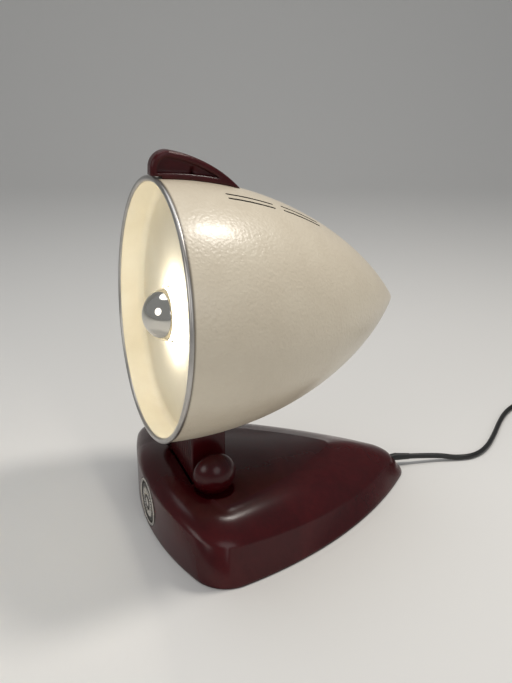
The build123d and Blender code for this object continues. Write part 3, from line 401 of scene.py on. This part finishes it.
# The crown's shell reaches from the bulb's front pole, at a radius of next to nothing, to its edge.
BULB = Vector((0.0, -0.01878, 0.1810))
CROWN_R = 0.02012
CROWN_EDGE = math.radians(81)
CROWN_ROWS = 40
CROWN_POLE_R = 0.00001
crown = [(CROWN_POLE_R, -CROWN_R)]
for row in range(1, CROWN_ROWS + 1):
    angle = CROWN_EDGE * row / CROWN_ROWS
    crown.append((CROWN_R * math.sin(angle), -CROWN_R * math.cos(angle)))
piece("crown", turned(crown, BULB, 96, False), "mirror_coat", "bulb", "bulb_mirror")

# Half the foot's width is a square function of y, with the terms in FLANK. Its flanks are rounded
# over FLANK_REACH inwards from there, fully up to FADE_END - FADE_SPAN and not at all past FADE_END.
# They fall by FLANK_DROP of the height at most and are shaded as if they fell by FLANK_TURN of it.
# FLANK_SOFT keeps the middle line free of a crease.
FLANK = (0.10135, -0.1015, -1.718)
FLANK_REACH = 0.085
FLANK_DROP = 0.04
FLANK_TURN = 0.6
FLANK_SOFT = 0.016
FADE_END = 0.190
FADE_SPAN = 0.090

# The wall's height at the foot's front, and its fall from there over the foot's length.
SKIRT_FRONT_Z = 0.041
SKIRT_FALL = 0.0265
FOOT_FRONT_Y = -0.0446
FOOT_LENGTH = 0.2408

# A corner is the wall's when its normal rises by less than WALL_LEAN. From the share WALL_START of
# the wall's height on it is turned up, by WALL_TURN at most.
WALL_LEAN = 0.15
WALL_START = 0.45
WALL_TURN = math.radians(38)


def flank(spot):
    """Share by which the foot's flank falls at a place, and how that share changes along X and Y."""
    width = FLANK[0] + FLANK[1] * spot.y + FLANK[2] * spot.y ** 2
    slope = FLANK[1] + 2 * FLANK[2] * spot.y
    out = math.hypot(spot.x, FLANK_SOFT)
    near = min(1 - (width - out) / FLANK_REACH, 1.0)
    if near <= 0:
        return 0.0, 0.0, 0.0
    fade = min(max((FADE_END - spot.y) / FADE_SPAN, 0.0), 1.0)
    fade_slope = -6 * fade * (1 - fade) / FADE_SPAN
    fade = fade * fade * (3 - 2 * fade)
    return (fade * near ** 2, fade * 2 * near * spot.x / out / FLANK_REACH,
            fade_slope * near ** 2 - fade * 2 * near * slope / FLANK_REACH)


def skirt_top(y):
    """Height of the foot's wall, which falls to the rear."""
    return SKIRT_FRONT_Z - SKIRT_FALL * (y - FOOT_FRONT_Y) / FOOT_LENGTH


def domed_foot():
    """The foot's shell shaded with rounder flanks than the solid's, over a lower wall."""
    source = nodes["base_shell"]
    data = source.data.copy()
    data.name = "foot"
    data.transform(source.matrix_world)
    normals = [corner.vector.copy() for corner in data.corner_normals]
    for loop, normal in zip(data.loops, normals):
        spot = data.vertices[loop.vertex_index].co
        share, along_x, along_y = flank(spot)
        lean = normal.z / (1 - FLANK_TURN * share)
        normal.x += lean * spot.z * FLANK_TURN * along_x
        normal.y += lean * spot.z * FLANK_TURN * along_y
        normal.z = lean
        rise = spot.z / skirt_top(spot.y)
        flat = math.hypot(normal.x, normal.y)
        if abs(normal.z) < WALL_LEAN * flat and rise > WALL_START and abs(spot.x) * share > 0:
            up_wall = min((rise - WALL_START) / (1 - WALL_START), 1.0)
            normal.z += flat * math.tan(WALL_TURN) * share * up_wall ** 1.5
        normal.normalize()
    for vertex in data.vertices:
        vertex.co.z *= 1 - FLANK_DROP * flank(vertex.co)[0]
    data.normals_split_custom_set(normals)
    show("foot", data, "bakelite", "base", "base_shell")


domed_foot()

BADGE_R = 0.020
BADGE_RELIEF = 0.0011
BADGE_THICK = 0.0023
BADGE_EDGE = 0.0009
BADGE_STEPS = 192
BADGE_ROWS = 48
STUD_R = 0.002

# The badge's relief: middle radius, half width and count of the rim's teeth and of the beads,
# then the rays' inner radius, length and count, and the middle dome's radius.
RIM_R, RIM_WIDTH, RIM_TEETH = 0.0186, 0.0009, 64
BEADS_R, BEADS_WIDTH, BEADS = 0.0162, 0.0006, 48
RAYS_R, RAYS_LENGTH, RAYS = 0.0048, 0.0098, 28
DOME_R = 0.0042

# Faces deeper than this share of the relief are the dark hollows.
HOLLOW_SHARE = 0.7


def badge_height(radius, angle):
    """Relief of the badge's face: toothed rim, ring of beads, field of rays and a domed middle."""
    teeth = 0.85 + 0.15 * math.cos(RIM_TEETH * angle)
    rim = math.exp(-((radius - RIM_R) / RIM_WIDTH) ** 2) * teeth
    row = max(math.cos(BEADS * angle), 0.0)
    beads = 0.6 * math.exp(-((radius - BEADS_R) / BEADS_WIDTH) ** 2) * row
    span = min(max((radius - RAYS_R) / RAYS_LENGTH, 0.0), 1.0)
    rays = 0.62 * math.sin(math.pi * span) * abs(math.cos(RAYS / 2 * angle))
    dome = 0.9 * math.sqrt(max(1 - (radius / DOME_R) ** 2, 0.0))
    return min(rim + beads + rays + dome, 1.0) * BADGE_RELIEF


def badge():
    """Round badge on the foot's front, with its stud."""
    low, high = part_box("front_badge")
    middle_x = (low.x + high.x) / 2
    middle_z = (low.z + high.z) / 2
    back = low.y + BADGE_THICK
    rings = [(BADGE_R * i / BADGE_ROWS, None) for i in range(1, BADGE_ROWS)]
    rings += [(BADGE_R, back - BADGE_EDGE), (BADGE_R, back), (STUD_R, back), (STUD_R, high.y)]
    mesh = bmesh.new()
    rows = []
    for radius, depth in rings:
        row = []
        for i in range(BADGE_STEPS):
            angle = 2 * math.pi * i / BADGE_STEPS
            y = low.y + BADGE_RELIEF - badge_height(radius, angle) if depth is None else depth
            row.append(mesh.verts.new((middle_x + radius * math.cos(angle), y,
                                       middle_z + radius * math.sin(angle))))
        rows.append(row)
    tip = mesh.verts.new((middle_x, low.y + BADGE_RELIEF - badge_height(0.0, 0.0), middle_z))
    end = mesh.verts.new((middle_x, high.y, middle_z))
    skin(mesh, rows)
    for i in range(BADGE_STEPS):
        after = (i + 1) % BADGE_STEPS
        mesh.faces.new((tip, rows[0][i], rows[0][after]))
        mesh.faces.new((end, rows[-1][after], rows[-1][i]))
    made = piece("badge", mesh, "badge_brass", "base", "front_badge")
    made.data.materials.append(metal("badge_hollows", (0.03, 0.026, 0.022), (0.09, 0.08, 0.07), 0.4))
    for face in made.data.polygons:
        if face.center.y > low.y + HOLLOW_SHARE * BADGE_RELIEF:
            face.material_index = 1


badge()


def tube(points, radius, sides=20, per_span=6):
    """Round lead through points, smoothed as a Catmull-Rom curve."""
    spots = [Vector(p) for p in points]
    spots = [2 * spots[0] - spots[1]] + spots + [2 * spots[-1] - spots[-2]]
    line = []
    for before, here, after, beyond in zip(spots, spots[1:], spots[2:], spots[3:]):
        speed = after - before
        bend = 2 * before - 5 * here + 4 * after - beyond
        twist = 3 * here - before - 3 * after + beyond
        for i in range(per_span):
            t = i / per_span
            line.append(0.5 * (2 * here + speed * t + bend * t ** 2 + twist * t ** 3))
    line.append(spots[-2])
    mesh = bmesh.new()
    rings = []
    for i, spot in enumerate(line):
        along = (line[min(i + 1, len(line) - 1)] - line[max(i - 1, 0)]).normalized()
        rings.append([mesh.verts.new(place) for place in hoop(spot, along, radius, sides)])
    skin(mesh, rings)
    mesh.faces.new(rings[0])
    mesh.faces.new(rings[-1])
    return mesh


# The lead runs low in the foot and climbs at LEAD_Y to the height of the tilt axis.
CORD_R = 0.0025
AXIS_Z = 0.0615
LEAD_Y = 0.0078
loop = tube([(0, 0.060, 0.0088), (0, 0.046, 0.0088), (0, 0.030, 0.0112), (0, 0.0165, 0.0175),
             (0, 0.0095, 0.028), (0, LEAD_Y, 0.042), (0, LEAD_Y, AXIS_Z)], CORD_R)
lead = piece("lead_loop", loop, "cord_rubber", None, "flex_lead")
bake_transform(lead)

# The camera fitted to the photograph: place, angles, and focal length against the view's height.
CAMERA = Vector((0.50917, -0.16243, 0.37596))
YAW, PITCH, ROLL = 0.398366, 0.391687, 0.001617
FOCAL_PX = 749.0
VIEW_PX = 683.0
SENSOR_MM = 36.0
ahead = Vector((-math.cos(YAW) * math.cos(PITCH), math.sin(YAW) * math.cos(PITCH), -math.sin(PITCH)))
right = ahead.cross(Vector((0, 0, 1))).normalized()
up = right.cross(ahead)
right_r = right * math.cos(ROLL) + up * math.sin(ROLL)
up_r = up * math.cos(ROLL) - right * math.sin(ROLL)
camera_data = bpy.data.cameras.new("camera")
camera = bpy.data.objects.new("camera", camera_data)
collection.objects.link(camera)
turn = Matrix((right_r, up_r, -ahead)).transposed().to_4x4()
camera.matrix_world = Matrix.Translation(CAMERA) @ turn
camera_data.sensor_width = SENSOR_MM
camera_data.lens = FOCAL_PX / VIEW_PX * SENSOR_MM
camera_data.clip_start = 0.02
camera_data.clip_end = 20.0
bpy.context.scene.camera = camera

# The coil's middle, the height of its low layer, its innermost radius, the step from turn to turn
# and from layer to layer, and its quarter turns: inwards from FIRST to 0 on the low layer, then
# outwards to LAST on the high one.
COIL_X, COIL_Y = -0.010, 0.416
COIL_LOW_Z = 0.0035
COIL_IN_R = 0.0205
TURN_GAP = 0.0055
FIRST, LAST = -15, 14

# The curve stays inside its points, so the coil's own lie further out by OUTSET.
PER_QUARTER = 4
OUTSET = 1.0 / math.cos(math.pi / 4 / PER_QUARTER)

# The strain relief leaves the foot at BOOT_ROOT, to the side by BOOT_TURN and down by BOOT_DIP.
BOOT_ROOT = Vector((0.0, 0.193105, 0.0088))
BOOT_LENGTH = 0.014
BOOT_TURN = math.radians(12)
BOOT_DIP = math.radians(4)


def coil_radius(quarter):
    """Distance of the coil's line from its middle."""
    return COIL_IN_R + TURN_GAP * abs(quarter) / 4


def coil_point(quarter):
    """A place on the coil's own line: inwards on the low layer, up, and outwards on the high one."""
    angle = math.pi - (quarter - FIRST) * math.pi / 2
    radius = coil_radius(quarter) * OUTSET
    climb = min(max((quarter + 1) / 2, 0.0), 1.0)
    return (COIL_X + radius * math.cos(angle), COIL_Y + radius * math.sin(angle),
            COIL_LOW_Z + TURN_GAP * climb)


boot_dir = Vector((math.sin(BOOT_TURN) * math.cos(BOOT_DIP),
                   math.cos(BOOT_TURN) * math.cos(BOOT_DIP), -math.sin(BOOT_DIP)))
boot_tip = BOOT_ROOT + boot_dir * BOOT_LENGTH
enter_x = COIL_X - coil_radius(FIRST)
route = [
    tuple(boot_tip), tuple(boot_tip + boot_dir * 0.030), (0.0150, 0.2500, 0.0028),
    (0.0195, 0.2690, 0.0026), (0.0120, 0.2900, 0.0026), (-0.0060, 0.3140, 0.0026),
    (-0.0260, 0.3370, 0.0026), (-0.0420, 0.3590, 0.0026), (enter_x + 0.0004, 0.3800, 0.0030),
    (enter_x, 0.3960, COIL_LOW_Z), (enter_x, COIL_Y - 0.005, COIL_LOW_Z),
]
steps = (LAST - FIRST) * PER_QUARTER
route += [coil_point(FIRST + i / PER_QUARTER) for i in range(1, steps + 1)]

# The tail's points, in millimetres from the end of the coil.
TAIL_MM = [(5, 0, 0), (14, 0, -0.6), (25, -2.0, -3.4), (36, -4.5, -3.6), (46, -5.0, -2.1),
           (55, -5.0, -2.1)]
coil_end = Vector((COIL_X, COIL_Y + coil_radius(LAST), COIL_LOW_Z + TURN_GAP))
route += [tuple(coil_end + Vector(offset) / 1000) for offset in TAIL_MM]

curve = bpy.data.curves.new("flex", "CURVE")
curve.dimensions = "3D"
curve.bevel_depth = CORD_R
curve.bevel_resolution = 5
curve.use_fill_caps = True
spline = curve.splines.new("NURBS")
spline.points.add(len(route) - 1)
for spot, place in zip(spline.points, route):
    spot.co = (*place, 1.0)
spline.order_u = 3
spline.use_endpoint_u = True
spline.resolution_u = 5
spline.use_smooth = True
flex = bpy.data.objects.new("flex", curve)
collection.objects.link(flex)
curve.materials.append(SLOTS["cord_rubber"])
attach(flex, "base")
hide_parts("cord_run", "cord_coil", "cord_tail")


def area(name, place, target, size, energy, colour=(1.0, 1.0, 1.0)):
    """Round area light at a place, aimed at a target."""
    light = bpy.data.lights.new(name, "AREA")
    light.shape = "DISK"
    light.size = size
    light.energy = energy
    light.color = colour
    lamp = bpy.data.objects.new(name, light)
    lamp.location = place
    lamp.rotation_euler = (Vector(target) - Vector(place)).to_track_quat("-Z", "Y").to_euler()
    collection.objects.link(lamp)


def glow(count, radius, depth, size, energy):
    """Ring of small lights just in front of the collar, for what the lit bulb throws on the reflector."""
    for place in hoop(BULB + SHADE_AXIS * depth, SHADE_AXIS, radius, count):
        light = bpy.data.lights.new("glow", "POINT")
        light.energy = energy
        light.shadow_soft_size = size
        light.color = (1.0, 0.95, 0.85)
        lamp = bpy.data.objects.new("glow", light)
        lamp.location = place
        lamp.visible_camera = False
        lamp.visible_glossy = False
        collection.objects.link(lamp)
        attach(lamp, "head")


glow(count=12, radius=0.0262, depth=-0.003, size=0.003, energy=0.013)
area("key", (0.09, 0.48, 1.08), (0.0, 0.03, 0.16), 0.22, 5.2, (1.0, 0.95, 0.88))
area("front", (0.35, -0.85, 0.6), (0.0, 0.0, 0.15), 0.5, 1.8, (1.0, 0.97, 0.93))
area("fill", (1.3, 0.15, 0.75), (0.0, 0.05, 0.12), 0.8, 2.6)
area("top", (-0.35, -0.1, 1.4), (0.0, 0.05, 0.15), 0.9, 3.6, (0.96, 0.98, 1.0))

world = bpy.data.worlds.new("world")
bpy.context.scene.world = world
world.use_nodes = True
background = world.node_tree.nodes["Background"]
background.inputs["Color"].default_value = (0.92, 0.94, 0.96, 1.0)
background.inputs["Strength"].default_value = 0.28


def backdrop(near, wall, cove, top, width, steps=16):
    """Floor that curves up into a wall behind the view, as one sheet across the camera's direction."""
    away = Vector((ahead.x, ahead.y, 0.0)).normalized()
    across = Vector((-away.y, away.x, 0.0))
    profile = [(near, 0.0), (wall - cove, 0.0)]
    for i in range(1, steps + 1):
        angle = math.pi / 2 * i / steps
        profile.append((wall - cove + cove * math.sin(angle), cove - cove * math.cos(angle)))
    profile.append((wall, top))
    places = [away * far + across * side + Vector((0, 0, height))
              for far, height in profile for side in (-width, width)]
    mesh = bpy.data.meshes.new("floor")
    mesh.from_pydata(places, [], [(i, i + 1, i + 3, i + 2) for i in range(0, len(places) - 2, 2)])
    for face in mesh.polygons:
        face.use_smooth = True
    made = bpy.data.objects.new("floor", mesh)
    collection.objects.link(made)
    return made


floor = backdrop(near=-3.0, wall=2.2, cove=0.8, top=3.0, width=4.0)
pale = Graph("floor")
pale.set(Base_Color=(0.8, 0.79, 0.77, 1.0), Roughness=0.7)
floor.data.materials.append(pale.material)

bpy.context.scene.view_settings.view_transform = "Standard"
